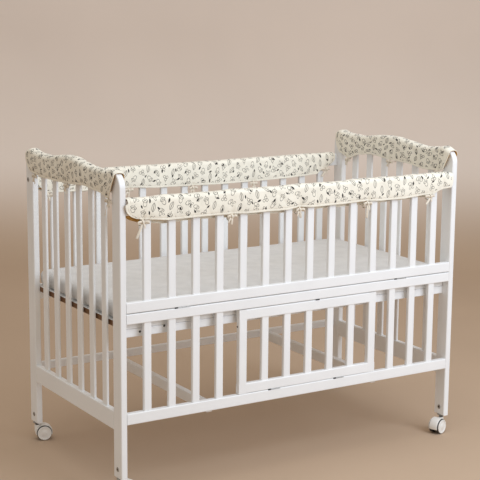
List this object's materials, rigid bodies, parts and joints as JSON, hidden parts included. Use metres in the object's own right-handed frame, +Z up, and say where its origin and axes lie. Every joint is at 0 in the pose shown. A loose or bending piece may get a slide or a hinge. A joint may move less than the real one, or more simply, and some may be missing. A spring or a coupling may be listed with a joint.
{
  "type": "crib rail cover set on a crib",
  "caption": "Padded cotton rail covers tied over the top rails of a white wooden crib with a mattress and castered legs.",
  "frame": {"origin": "on the floor under the middle of the crib", "axes": "+X along the crib, to the right seen from its front; +Y to its back; +Z up"},
  "size_m": [1.2626, 0.6879, 0.985],
  "materials": {
    "paint": "satin white paint on wood",
    "cloth": "cream printed cotton over thin wadding",
    "tie": "plain tan cotton ribbon",
    "mattress": "pale knitted mattress cloth",
    "caster": "moulded light grey nylon"
  },
  "bodies": {
    "root": {"post_front_left": "paint", "post_back_left": "paint", "end_panel_left": "paint", "post_front_right": "paint", "post_back_right": "paint", "end_panel_right": "paint", "side_front": "paint", "side_back": "paint", "rail_middle_front": "paint", "rail_bottom_front": "paint", "rail_bottom_back": "paint", "gate": "paint", "lower_slat_1": "paint", "lower_slat_2": "paint", "lower_slat_3": "paint", "lower_slat_4": "paint", "lower_slat_12": "paint", "lower_slat_13": "paint", "lower_slat_14": "paint", "deck": "paint", "deck_board_front": "paint", "deck_board_back": "paint", "beam_1": "paint", "beam_2": "paint", "mattress": "mattress", "caster_front_left": "caster", "caster_front_right": "caster", "caster_back_left": "caster", "caster_back_right": "caster", "cover_front": "cloth", "cover_back": "cloth", "cover_left": "cloth", "cover_right": "cloth", "tie_front_1": "tie", "tie_front_2": "tie", "tie_front_3": "tie", "tie_front_4": "tie", "tie_front_5": "tie", "tie_back_1": "tie", "tie_back_2": "tie", "tie_back_3": "tie", "tie_back_4": "tie", "tie_back_5": "tie", "tie_left_1": "tie", "tie_left_2": "tie", "tie_left_3": "tie", "tie_right_1": "tie", "tie_right_2": "tie", "tie_right_3": "tie"}
  },
  "joints": []
}
